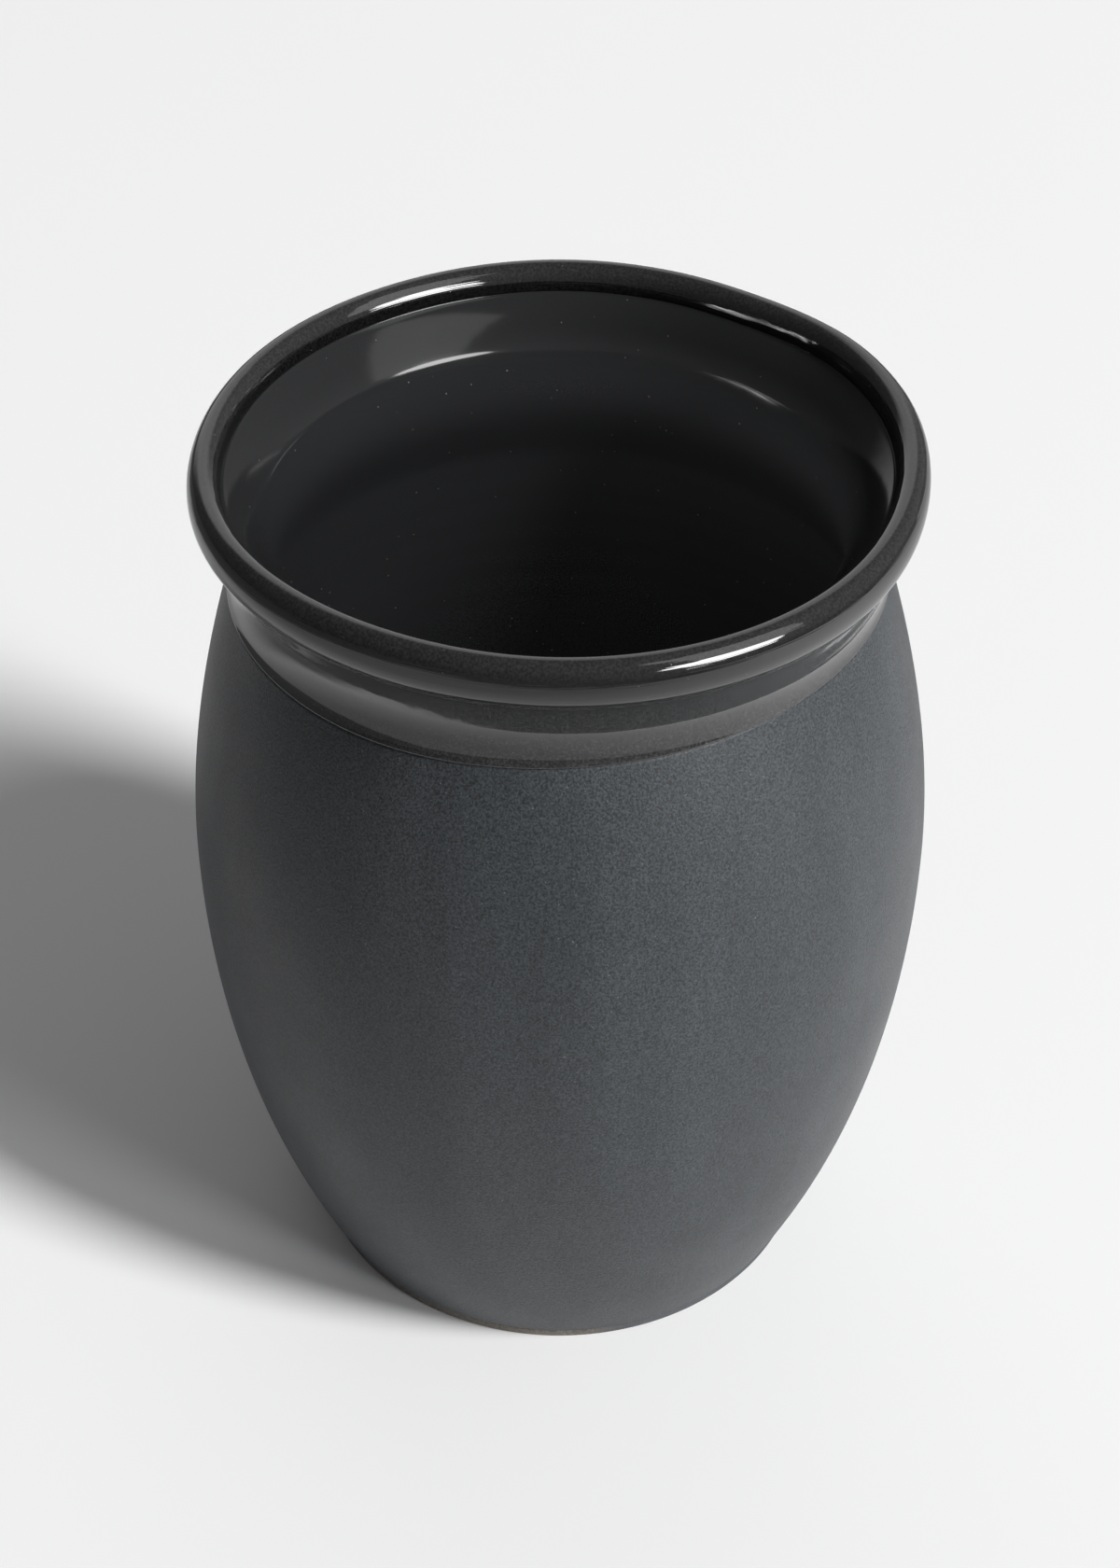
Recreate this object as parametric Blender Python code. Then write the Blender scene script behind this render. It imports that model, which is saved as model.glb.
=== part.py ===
"""A wheel-thrown stoneware jug without a handle: one clay body and its three fired coats.

Metres, +Z up. The origin is the centre of the foot, on the surface that the jug stands on.
Every piece is turned about Z from one outline of the clay, which runs from the foot up the
outside, over the rolled lip and down the inside to the middle of the floor.
"""
import math

import bmesh
import bpy
import numpy as np

# Outside of the finished jug, measured over its coats
OVERALL_HEIGHT = 0.1928
LIP_OUTER_RADIUS = 0.0700
BELLY_RADIUS = 0.0746
BELLY_HEIGHT = 0.1005
SHOULDER_RADIUS = 0.0636
SHOULDER_LEAN = math.radians(17.0)
GLAZE_LINE_DROP = 0.0274
FOOT_RADIUS = 0.0530
FOOT_LEAN = math.radians(25.0)

# The rolled lip is an oval, taller than it is thick. Its root is where the neck runs into it
LIP_THICKNESS = 0.0066
LIP_DEPTH = 0.0102
LIP_ROOT_ANGLE = math.radians(-106.0)
LIP_ROOT_LEAN = math.radians(48.0)

# Inside of the finished jug: a small ledge under the lip, then the throat, its narrowest place
LEDGE_DROP = 0.0019
LEDGE_STEP = 0.0015
LEDGE_SLOPE = math.radians(50.0)
THROAT_RADIUS = 0.0545
THROAT_DROP = 0.0228
THROAT_LENGTH = 0.0220
WALL_THICKNESS = 0.0055
FLOOR_THICKNESS = 0.0070
FLOOR_CORNER_RADIUS = 0.0240

# The turned foot
FOOT_CHAMFER = 0.0008
FOOT_RING_WIDTH = 0.0085
RECESS_DEPTH = 0.0025
RECESS_CORNER = 0.0020

# Coats and the gap that keeps each one a separate solid
COAT_GAP = 0.0003
SLIP_THICKNESS = 0.0003
GLAZE_THICKNESS = 0.0006
COAT_START_HEIGHT = 0.0020

# The jug was dipped by hand, so the glaze line tilts: lowest on the left and the near side
GLAZE_LINE_RISE = 0.0018
GLAZE_LINE_RISE_TOWARDS = math.radians(18.0)
GLAZE_LINE_REACH = 0.0160

# The lip was rolled by hand and wavers a little, with this many soft lobes
LIP_WAVER = 0.0003
LIP_LOBES = 4
LIP_LOBE_ANGLE = math.radians(24.0)
LIP_WAVER_REACH = 0.0220

# Fired surfaces: colour and roughness
BARE_CLAY = ((0.16, 0.13, 0.11), 0.85)
GRAPHITE_SLIP = ((0.055, 0.057, 0.060), 0.60)
BLACK_LIP_GLAZE = ((0.012, 0.012, 0.012), 0.08)
BLACK_LINING_GLAZE = ((0.010, 0.010, 0.010), 0.10)

# How finely the outlines are drawn
SIDES = 48
CURVE_SAMPLES = 60
NORMAL_CHORD = 0.0004
SHARP_EDGE = math.radians(50.0)
LOWER_WALL_ROWS = 7
UPPER_WALL_ROWS = 5
NECK_ROWS = 6
LIP_UNDER_ROWS = 5
LIP_OUTER_ROWS = 4
LIP_INNER_ROWS = 4
LEDGE_ROWS = 3
FLARE_ROWS = 4
THROAT_ROWS = 4
SHOULDER_ROWS = 3
INNER_WALL_ROWS = 4
CORNER_ROWS = 5

SLIP_COVER = COAT_GAP + SLIP_THICKNESS
GLAZE_COVER = COAT_GAP + GLAZE_THICKNESS
GLAZE_LINE_HEIGHT = OVERALL_HEIGHT - GLAZE_LINE_DROP
THROAT_HEIGHT = OVERALL_HEIGHT - THROAT_DROP
UP = math.pi / 2.0


def clear_scene():
    """Start from an empty scene."""
    for old in list(bpy.data.objects):
        bpy.data.objects.remove(old, do_unlink=True)


def heading(angle):
    """Unit direction in the outline's plane: 0 points outwards, a quarter turn points up."""
    return np.array([math.cos(angle), math.sin(angle)])


def bend(start, start_angle, end, end_angle):
    """A cubic curve between two points with given headings, near a round arc.

    The handles have the length that makes an arc of the same turn: a third of the chord,
    divided by the squared cosine of a quarter of the turn.
    """
    start, end = np.array(start), np.array(end)
    chord = np.linalg.norm(end - start)
    turn = abs(math.remainder(end_angle - start_angle, 2.0 * math.pi))
    handle = chord / (3.0 * math.cos(turn / 4.0) ** 2)
    first = start + handle * heading(start_angle)
    second = end - handle * heading(end_angle)
    t = np.linspace(0.0, 1.0, CURVE_SAMPLES)[:, None]
    s = 1.0 - t
    return s ** 3 * start + 3.0 * s * s * t * first + 3.0 * s * t * t * second + t ** 3 * end


def oval(centre, half_width, half_height, start_angle, end_angle):
    """Points round an oval, from one angle to another."""
    angle = np.linspace(start_angle, end_angle, CURVE_SAMPLES)
    return np.stack([centre[0] + half_width * np.cos(angle),
                     centre[1] + half_height * np.sin(angle)], axis=1)


class Outline:
    """A path in the plane of radius and height, read by its length along the way."""

    def __init__(self, stretches):
        self.points = np.concatenate([stretches[0]] + [part[1:] for part in stretches[1:]])
        steps = np.linalg.norm(np.diff(self.points, axis=0), axis=1)
        self.along = np.concatenate([[0.0], np.cumsum(steps)])
        ends = np.cumsum([len(part) - 1 for part in stretches])
        self.stops = [0.0] + [self.along[i] for i in ends]

    def at(self, s):
        """Radius and height at the length s."""
        return np.stack([np.interp(s, self.along, self.points[:, 0]),
                         np.interp(s, self.along, self.points[:, 1])], axis=-1)

    def normal(self, s):
        """Direction out of the clay at s, from a short chord there."""
        chord = self.at(s + NORMAL_CHORD) - self.at(s - NORMAL_CHORD)
        chord /= np.linalg.norm(chord, axis=-1)[..., None]
        return np.stack([chord[..., 1], -chord[..., 0]], axis=-1)


def lip_curves():
    """The lip's oval under its glaze: root to outer side, side to top, top to crease."""
    middle = (LIP_OUTER_RADIUS - LIP_THICKNESS / 2.0, OVERALL_HEIGHT - LIP_DEPTH / 2.0)
    half_width = LIP_THICKNESS / 2.0 - GLAZE_COVER
    half_height = LIP_DEPTH / 2.0 - GLAZE_COVER
    return [oval(middle, half_width, half_height, LIP_ROOT_ANGLE, 0.0),
            oval(middle, half_width, half_height, 0.0, UP),
            oval(middle, half_width, half_height, UP, 2.0 * UP)]


def outside_curves(lip_root):
    """The clay from the foot out to the belly, in to the glaze line, and up the hollow neck."""
    foot_edge = (FOOT_RADIUS, FOOT_CHAMFER)
    belly = (BELLY_RADIUS - SLIP_COVER, BELLY_HEIGHT)
    shoulder = (SHOULDER_RADIUS - SLIP_COVER, GLAZE_LINE_HEIGHT)
    return [bend(foot_edge, UP - FOOT_LEAN, belly, UP),
            bend(belly, UP, shoulder, UP + SHOULDER_LEAN),
            bend(shoulder, UP + SHOULDER_LEAN, lip_root, UP - LIP_ROOT_LEAN)]


def one_wall_in(curve, height):
    """The point one wall thickness inside an outer curve at a height."""
    return (np.interp(height, curve[:, 1], curve[:, 0]) - WALL_THICKNESS, height)


def inside_curves(crease, lower_wall, upper_wall):
    """The clay from the crease down over the ledge, throat, wall and rounded corner to the floor."""
    ledge = (crease[0] - LEDGE_STEP, crease[1] - LEDGE_DROP)
    throat = (THROAT_RADIUS + GLAZE_COVER, THROAT_HEIGHT)
    high = THROAT_HEIGHT - THROAT_LENGTH
    high_lean = SHOULDER_LEAN * (high - BELLY_HEIGHT) / (GLAZE_LINE_HEIGHT - BELLY_HEIGHT)
    inner_shoulder = one_wall_in(upper_wall, high)
    inner_belly = (BELLY_RADIUS - SLIP_COVER - WALL_THICKNESS, BELLY_HEIGHT)
    low = FLOOR_THICKNESS + FLOOR_CORNER_RADIUS
    low_lean = FOOT_LEAN * (BELLY_HEIGHT - low) / BELLY_HEIGHT
    corner_top = one_wall_in(lower_wall, low)
    corner_end = (corner_top[0] - FLOOR_CORNER_RADIUS, FLOOR_THICKNESS)
    return [bend(crease, -UP, ledge, -UP - LEDGE_SLOPE),
            bend(ledge, -UP - LEDGE_SLOPE, throat, -UP),
            bend(throat, -UP, inner_shoulder, -UP + high_lean),
            bend(inner_shoulder, -UP + high_lean, inner_belly, -UP),
            bend(inner_belly, -UP, corner_top, -UP - low_lean),
            bend(corner_top, -UP - low_lean, corner_end, -2.0 * UP),
            np.array([corner_end, (0.0, FLOOR_THICKNESS)])]


def clay_outline():
    """The clay's skin under its coats, from the foot over the lip to the middle of the floor."""
    lip = lip_curves()
    outside = outside_curves(lip[0][0])
    inside = inside_curves(lip[-1][-1], outside[0], outside[1])
    return Outline(outside + lip + inside)


CLAY = clay_outline()
(FOOT_STOP, BELLY_STOP, GLAZE_LINE_STOP, LIP_ROOT_STOP, LIP_SIDE_STOP, LIP_TOP_STOP,
 CREASE_STOP, LEDGE_STOP, THROAT_STOP, INNER_SHOULDER_STOP, INNER_BELLY_STOP, CORNER_STOP,
 FLOOR_STOP) = CLAY.stops[:-1]
COAT_STOP = float(np.interp(COAT_START_HEIGHT, CLAY.points[:CURVE_SAMPLES, 1],
                            CLAY.along[:CURVE_SAMPLES]))


def rows(start, end, count):
    """Evenly spaced lengths along the outline, both ends included."""
    return np.linspace(start, end, count + 1)


def outer_wall_rows(start, end):
    """Rows up the outer wall, one of them round the belly at its widest."""
    return np.concatenate([rows(start, BELLY_STOP, LOWER_WALL_ROWS),
                           rows(BELLY_STOP, end, UPPER_WALL_ROWS)[1:]])


def lip_glaze_rows(start, end):
    """Rows up the neck and round the lip to the crease inside it."""
    return np.concatenate([rows(start, LIP_ROOT_STOP, NECK_ROWS),
                           rows(LIP_ROOT_STOP, LIP_SIDE_STOP, LIP_UNDER_ROWS)[1:],
                           rows(LIP_SIDE_STOP, LIP_TOP_STOP, LIP_OUTER_ROWS)[1:],
                           rows(LIP_TOP_STOP, end, LIP_INNER_ROWS)[1:]])


def inside_rows(start):
    """Rows from the crease down the throat and the inner wall to the edge of the floor."""
    return np.concatenate([rows(start, LEDGE_STOP, LEDGE_ROWS),
                           rows(LEDGE_STOP, THROAT_STOP, FLARE_ROWS)[1:],
                           rows(THROAT_STOP, INNER_SHOULDER_STOP, THROAT_ROWS)[1:],
                           rows(INNER_SHOULDER_STOP, INNER_BELLY_STOP, SHOULDER_ROWS)[1:],
                           rows(INNER_BELLY_STOP, CORNER_STOP, INNER_WALL_ROWS)[1:],
                           rows(CORNER_STOP, FLOOR_STOP, CORNER_ROWS)[1:]])


def fade(distance, reach):
    """1 at no distance, easing to 0 at the reach."""
    share = np.clip(1.0 - np.abs(distance) / reach, 0.0, 1.0)
    return share * share * (3.0 - 2.0 * share)


def skin(lengths, depth):
    """Rings of points at the given lengths along the outline and height over the clay.

    Rows near the glaze line slide along the clay as its hand-dipped edge rises and falls, and
    the lip wavers in and out. Returns rows, sides and coordinates.
    """
    side = np.linspace(0.0, 2.0 * math.pi, SIDES, endpoint=False)[None, :]
    s = np.asarray(lengths)[:, None] + 0.0 * side
    rise = GLAZE_LINE_RISE * np.cos(side - GLAZE_LINE_RISE_TOWARDS)
    s = s + rise * fade(s - GLAZE_LINE_STOP, GLAZE_LINE_REACH)
    flat = CLAY.at(s) + depth * CLAY.normal(s)
    radius, height = flat[..., 0], flat[..., 1]
    waver = LIP_WAVER * np.cos(LIP_LOBES * (side - LIP_LOBE_ANGLE))
    radius = radius + waver * fade(height - OVERALL_HEIGHT, LIP_WAVER_REACH)
    return np.stack([radius * np.cos(side), radius * np.sin(side), height], axis=-1)


def ring(radius, height):
    """One plain ring of points, as a single row."""
    side = np.linspace(0.0, 2.0 * math.pi, SIDES, endpoint=False)
    return np.stack([radius * np.cos(side), radius * np.sin(side), height + 0.0 * side], axis=-1)[None]


def turned_solid(name, rings, material, first_centre=None, last_centre=None):
    """A closed solid from rings that go round its section.

    Without centres the last ring joins the first. With them, each end closes on the axis.
    """
    mesh = bpy.data.meshes.new(name)
    form = bmesh.new()
    turns = [[form.verts.new(point) for point in one_ring] for one_ring in rings]
    pairs = list(zip(turns[:-1], turns[1:]))
    if first_centre is None:
        pairs.append((turns[-1], turns[0]))
    for lower, upper in pairs:
        for i in range(SIDES):
            j = (i + 1) % SIDES
            form.faces.new((lower[i], lower[j], upper[j], upper[i]))
    for centre, one_turn in ((first_centre, turns[0]), (last_centre, turns[-1])):
        if centre is not None:
            tip = form.verts.new((0.0, 0.0, centre))
            for i in range(SIDES):
                form.faces.new((tip, one_turn[i], one_turn[(i + 1) % SIDES]))
    bmesh.ops.recalc_face_normals(form, faces=form.faces)
    form.to_mesh(mesh)
    form.free()
    mesh.shade_smooth()
    mesh.set_sharp_from_angle(angle=SHARP_EDGE)
    mesh.materials.append(material)
    piece = bpy.data.objects.new(name, mesh)
    bpy.context.collection.objects.link(piece)
    return piece


def ceramic(name, surface):
    """A fired, non-metallic surface from its colour and roughness."""
    colour, roughness = surface
    material = bpy.data.materials.new(name)
    material.use_nodes = True
    shader = material.node_tree.nodes["Principled BSDF"]
    shader.inputs["Base Color"].default_value = (*colour, 1.0)
    shader.inputs["Roughness"].default_value = roughness
    shader.inputs["Metallic"].default_value = 0.0
    return material


def make_clay_body():
    """The thrown wall, floor, foot ring and lip core, closed across the recess under the foot."""
    ring_inner = FOOT_RADIUS - FOOT_RING_WIDTH
    underside = np.concatenate([
        ring(ring_inner - RECESS_CORNER, RECESS_DEPTH),
        ring(ring_inner, 0.0),
        ring(FOOT_RADIUS - FOOT_CHAMFER, 0.0),
    ])
    skin_rows = np.concatenate([
        [FOOT_STOP],
        outer_wall_rows(COAT_STOP, GLAZE_LINE_STOP),
        lip_glaze_rows(GLAZE_LINE_STOP, CREASE_STOP)[1:],
        inside_rows(CREASE_STOP)[1:],
    ])
    rings = np.concatenate([underside, skin(skin_rows, 0.0)])
    material = ceramic("bare_stoneware", BARE_CLAY)
    return turned_solid("clay_body", rings, material, RECESS_DEPTH, FLOOR_THICKNESS)


def coat_rings(lengths, thickness):
    """Rings round a coat's section: out along its outer face and back along its inner face."""
    outer = skin(lengths, COAT_GAP + thickness)
    inner = skin(lengths[::-1], COAT_GAP)
    return np.concatenate([outer, inner])


def make_slip_coat():
    """Matte graphite slip from just above the foot up to the glaze line."""
    lengths = outer_wall_rows(COAT_STOP, GLAZE_LINE_STOP - COAT_GAP / 2.0)
    material = ceramic("graphite_slip", GRAPHITE_SLIP)
    return turned_solid("slip_coat", coat_rings(lengths, SLIP_THICKNESS), material)


def make_lip_glaze():
    """Glossy black glaze over the neck and the lip, thicker than the slip, so its edge stands proud."""
    lengths = lip_glaze_rows(GLAZE_LINE_STOP + COAT_GAP / 2.0, CREASE_STOP - COAT_GAP / 2.0)
    material = ceramic("lip_glaze", BLACK_LIP_GLAZE)
    return turned_solid("lip_glaze", coat_rings(lengths, GLAZE_THICKNESS), material)


def make_lining_glaze():
    """Glossy black glaze poured inside, from the floor's middle up to the crease inside the lip."""
    lengths = inside_rows(CREASE_STOP + COAT_GAP / 2.0)[::-1]
    material = ceramic("lining_glaze", BLACK_LINING_GLAZE)
    return turned_solid("lining_glaze", coat_rings(lengths, GLAZE_THICKNESS), material,
                        FLOOR_THICKNESS + GLAZE_COVER, FLOOR_THICKNESS + COAT_GAP)


clear_scene()
make_clay_body()
make_slip_coat()
make_lip_glaze()
make_lining_glaze()
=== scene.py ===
import math

import bpy
import numpy as np
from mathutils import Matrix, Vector


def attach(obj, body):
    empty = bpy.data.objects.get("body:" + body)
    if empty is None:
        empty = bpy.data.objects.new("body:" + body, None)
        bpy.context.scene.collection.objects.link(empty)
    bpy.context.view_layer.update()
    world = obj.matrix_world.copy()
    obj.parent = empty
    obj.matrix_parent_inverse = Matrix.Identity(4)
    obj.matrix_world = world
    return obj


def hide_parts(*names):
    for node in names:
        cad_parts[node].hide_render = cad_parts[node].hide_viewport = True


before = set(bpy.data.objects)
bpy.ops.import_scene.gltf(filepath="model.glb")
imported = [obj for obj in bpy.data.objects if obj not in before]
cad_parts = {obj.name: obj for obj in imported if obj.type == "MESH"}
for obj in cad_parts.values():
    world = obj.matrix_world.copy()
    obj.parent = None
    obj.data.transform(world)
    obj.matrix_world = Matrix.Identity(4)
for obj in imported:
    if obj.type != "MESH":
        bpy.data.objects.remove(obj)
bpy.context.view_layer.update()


# The studio. A sheet of matte white paper lies on a table in a dim room, before a pale backdrop.
# Two lamps at the front right throw the shadow, and a softbox's face and top shine in the glaze.
# Past the paper's edges the glaze finds the dark table, while the camera sees paper all over.
UP = math.pi / 2.0
CAMERA_TILT = math.radians(39.76)
CAMERA_DISTANCE = 0.6123
CAMERA_AIM_HEIGHT = 0.1093
LENS_MM = 68.57
SENSOR_MM = 36.0
CLIP_NEAR, CLIP_FAR = 0.01, 60.0
FLOOR_SIZE = 24.0
PAPER_COLOUR = (0.888, 0.888, 0.888, 1.0)
# Painted light and shade on the paper, seen only in reflections and in the light it throws back:
# paler near the lamps, darker away from them, and a painted shadow of the jug behind it.
PAPER_NEAR_LAMP = (0.97, 0.97, 0.97, 1.0)
PAPER_SHADED_AWAY = (0.45, 0.45, 0.45, 1.0)
PAPER_SHADE_FADE = (-0.14, 0.36)
FADE_LEFTWARD = 0.8
PAPER_SHADOW_BEHIND = (0.0, 0.35)
SHADOW_BEHIND_SHARE = 0.8
PAPER_CENTRE = (0.17, 0.03, 0.0)
PAPER_HALF = (0.62, 0.58)
PAPER_EDGE = 0.03
TABLE_COLOUR = (0.16, 0.16, 0.16, 1.0)
ROOM_LEFT = (0.078, 0.078, 0.081, 1.0)
ROOM_RIGHT = (0.29, 0.29, 0.295, 1.0)
LEAST_LEVEL_SQUARED = 0.0001
BACKDROP_COLOUR = (0.75, 0.75, 0.755, 1.0)
BACKDROP_AZIMUTH = math.radians(96.0)
BACKDROP_SPREAD = (math.cos(math.radians(36.0)), math.cos(math.radians(16.0)))
BACKDROP_TOP = (math.sin(math.radians(38.0)), math.sin(math.radians(60.0)))
LAMP_AIM_HEIGHT = 0.1
LAMP_HIGH = {"azimuth": -31.0, "elevation": 43.0, "distance": 16.0, "width": 9.0, "height": 28.0}
LAMP_HIGH_RADIANCE = 55.0
LAMP_LOW = {"azimuth": -35.0, "elevation": 7.0, "distance": 16.0, "width": 12.0, "height": 9.0}
LAMP_LOW_RADIANCE = 72.0
SOFTBOX_FACE = {"azimuth": -44.0, "elevation": 17.0, "distance": 8.0, "width": 36.0, "height": 17.0}
FACE_RADIANCE = 12.5
SOFTBOX_TOP = {"azimuth": -32.0, "elevation": 41.0, "distance": 9.0, "width": 32.0, "height": 40.0}
TOP_RADIANCE = 0.9
CORE_BY_LEFT_WALL = 260.0
CORE_ELSEWHERE = 14.0
LEFT_WALL = (-0.052, -0.044)
CORE_CORNERS = 48
CORE_IN_FRONT = 0.05
MOUTH_FILL_HEIGHT = 0.183
MOUTH_FILL_RADIUS = 0.050
MOUTH_FILL_RADIANCE = 2.5


def make_camera():
    """The camera looks down at the jug's axis from the front."""
    camera_data = bpy.data.cameras.new("photo_camera")
    camera_data.lens = LENS_MM
    camera_data.sensor_width = SENSOR_MM
    camera_data.clip_start = CLIP_NEAR
    camera_data.clip_end = CLIP_FAR
    camera = bpy.data.objects.new("photo_camera", camera_data)
    bpy.context.scene.collection.objects.link(camera)
    camera.location = (0.0, -CAMERA_DISTANCE * math.cos(CAMERA_TILT),
                       CAMERA_AIM_HEIGHT + CAMERA_DISTANCE * math.sin(CAMERA_TILT))
    camera.rotation_euler = (UP - CAMERA_TILT, 0.0, 0.0)
    bpy.context.scene.camera = camera


def new_tree(owner):
    """An emptied node tree."""
    owner.use_nodes = True
    owner.node_tree.nodes.clear()
    return owner.node_tree


def node(tree, kind, inputs=None, **settings):
    """A node with its settings; inputs maps a socket's name or number to a value or a socket."""
    made = tree.nodes.new(kind)
    for key, value in settings.items():
        setattr(made, key, value)
    for key, value in (inputs or {}).items():
        if isinstance(value, bpy.types.NodeSocket):
            tree.links.new(value, made.inputs[key])
        else:
            made.inputs[key].default_value = value
    return made


def math_node(tree, operation, first, second=0.0, third=0.0):
    """The result of one sum of values or sockets."""
    made = node(tree, "ShaderNodeMath", {0: first, 1: second, 2: third}, operation=operation)
    return made.outputs[0]


def vector_node(tree, operation, first, second, third=(0.0, 0.0, 0.0)):
    """The result of one sum of vectors or sockets."""
    made = node(tree, "ShaderNodeVectorMath", {0: first, 1: second, 2: third}, operation=operation)
    return made.outputs[0]


def split(tree, vector):
    """The three parts of a vector."""
    return node(tree, "ShaderNodeSeparateXYZ", {0: vector}).outputs


def blend(tree, factor, first, second):
    """A mix of two colours by a factor; each is a value or a socket."""
    mixed = node(tree, "ShaderNodeMix", {0: factor, 6: first, 7: second}, data_type="RGBA")
    return mixed.outputs[2]


def remap(tree, value, low, high, new_low=0.0, new_high=1.0, shape="LINEAR"):
    """A rescale of a value from one range to another, kept between the new limits."""
    return node(tree, "ShaderNodeMapRange", {"Value": value, "From Min": low, "From Max": high,
                "To Min": new_low, "To Max": new_high}, interpolation_type=shape).outputs[0]


def make_floor():
    """The paper and the table under it, as one flat sheet. In reflections and in the light that it
    throws back, the paper carries painted light and shade: paler near the lamps, dimmer away from
    them, and darkened behind the jug by a painted shadow of the jug."""
    half = FLOOR_SIZE / 2.0
    mesh = bpy.data.meshes.new("paper_floor")
    corners = [(-half, -half, 0.0), (half, -half, 0.0), (half, half, 0.0), (-half, half, 0.0)]
    mesh.from_pydata(corners, [], [(0, 1, 2, 3)])
    material = bpy.data.materials.new("matte_white_paper")
    tree = new_tree(material)
    place = node(tree, "ShaderNodeTexCoord").outputs["Object"]
    across, back, _ = split(tree, vector_node(tree, "SUBTRACT", place, PAPER_CENTRE))
    past_side = math_node(tree, "SUBTRACT", math_node(tree, "ABSOLUTE", across), PAPER_HALF[0])
    past_front = math_node(tree, "SUBTRACT", math_node(tree, "ABSOLUTE", back), PAPER_HALF[1])
    beyond = remap(tree, math_node(tree, "MAXIMUM", past_side, past_front), 0.0, PAPER_EDGE)
    # Painted shade: darker away from the lamps, and a painted shadow of the jug behind it. The
    # camera sees one even colour.
    x, y, _ = split(tree, place)
    leftward = math_node(tree, "MULTIPLY", x, -FADE_LEFTWARD)
    away = remap(tree, math_node(tree, "SUBTRACT", leftward, y), *PAPER_SHADE_FADE)
    behind = remap(tree, y, *PAPER_SHADOW_BEHIND, 0.0, SHADOW_BEHIND_SHARE)
    painted_shade = blend(tree, math_node(tree, "MAXIMUM", away, behind), PAPER_NEAR_LAMP, PAPER_SHADED_AWAY)
    around = blend(tree, beyond, painted_shade, TABLE_COLOUR)
    seen = node(tree, "ShaderNodeLightPath").outputs["Is Camera Ray"]
    shader = node(tree, "ShaderNodeBsdfDiffuse", {"Color": blend(tree, seen, around, PAPER_COLOUR)})
    node(tree, "ShaderNodeOutputMaterial", {"Surface": shader.outputs[0]})
    mesh.materials.append(material)
    floor = bpy.data.objects.new("paper_floor", mesh)
    bpy.context.scene.collection.objects.link(floor)


def make_room():
    """The room. Reflections and soft light come from its dim walls and the backdrop behind the jug;
    the camera sees one pale colour. A direction's level part is the root of 1 less its height
    squared, kept off 0."""
    world = bpy.data.worlds.new("studio_room")
    bpy.context.scene.world = world
    tree = new_tree(world)
    x, y, z = split(tree, node(tree, "ShaderNodeTexCoord").outputs["Generated"])
    level_squared = math_node(tree, "SUBTRACT", 1.0, math_node(tree, "MULTIPLY", z, z))
    level = math_node(tree, "SQRT", math_node(tree, "MAXIMUM", level_squared, LEAST_LEVEL_SQUARED))
    facing = math_node(tree, "ADD", math_node(tree, "MULTIPLY", x, math.cos(BACKDROP_AZIMUTH)),
                       math_node(tree, "MULTIPLY", y, math.sin(BACKDROP_AZIMUTH)))
    towards = math_node(tree, "DIVIDE", facing, level)
    sideways = remap(tree, towards, *BACKDROP_SPREAD, shape="SMOOTHSTEP")
    upwards = remap(tree, z, *BACKDROP_TOP, 1.0, 0.0, shape="SMOOTHSTEP")
    walls = blend(tree, remap(tree, x, -1.0, 1.0, shape="SMOOTHSTEP"), ROOM_LEFT, ROOM_RIGHT)
    around = blend(tree, math_node(tree, "MULTIPLY", sideways, upwards), walls, BACKDROP_COLOUR)
    seen = node(tree, "ShaderNodeLightPath").outputs["Is Camera Ray"]
    light = node(tree, "ShaderNodeBackground", {"Color": blend(tree, seen, around, PAPER_COLOUR)})
    node(tree, "ShaderNodeOutputWorld", {"Surface": light.outputs[0]})


def direction(azimuth, elevation):
    """The unit vector from the jug towards an azimuth and an elevation in degrees."""
    azimuth, elevation = math.radians(azimuth), math.radians(elevation)
    return Vector((math.cos(elevation) * math.cos(azimuth),
                   math.cos(elevation) * math.sin(azimuth), math.sin(elevation)))


def half_span(distance, angle):
    """Half the width of what spans this angle in degrees at this distance."""
    return distance * math.tan(math.radians(angle) / 2.0)


def hang(name, data, towards, distance):
    """A lamp or card hung at a distance from the jug and turned to face it."""
    holder = bpy.data.objects.new(name, data)
    bpy.context.scene.collection.objects.link(holder)
    holder.location = Vector((0.0, 0.0, LAMP_AIM_HEIGHT)) + towards * distance
    holder.rotation_euler = towards.to_track_quat("Z", "Y").to_euler()
    return holder


def make_lamp(name, azimuth, elevation, distance, width, height, radiance, shape="ELLIPSE",
              lights=True, shines=True):
    """A soft lamp that faces the jug. Width and height are angles in degrees seen from the jug. It
    lights matte surfaces if lights, and shows in glossy ones if shines."""
    lamp = bpy.data.lights.new(name, "AREA")
    lamp.shape = shape
    lamp.size = 2.0 * half_span(distance, width)
    lamp.size_y = 2.0 * half_span(distance, height)
    area = lamp.size * lamp.size_y * (math.pi / 4.0 if shape == "ELLIPSE" else 1.0)
    lamp.energy = radiance * math.pi * area
    holder = hang(name, lamp, direction(azimuth, elevation), distance)
    holder.visible_diffuse = lights
    holder.visible_glossy = shines


def make_mouth_fill():
    """A faint light hung inside the neck, which only lifts the deep shade of the matte inside. It
    stands for the haze that the photo's lens spreads over its darkest parts."""
    lamp = bpy.data.lights.new("mouth_fill", "AREA")
    lamp.shape = "DISK"
    lamp.size = 2.0 * MOUTH_FILL_RADIUS
    lamp.energy = MOUTH_FILL_RADIANCE * (math.pi * MOUTH_FILL_RADIUS) ** 2
    fill = bpy.data.objects.new("mouth_fill", lamp)
    bpy.context.scene.collection.objects.link(fill)
    fill.location = (0.0, 0.0, MOUTH_FILL_HEIGHT)
    fill.visible_camera = False
    fill.visible_glossy = False


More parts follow.
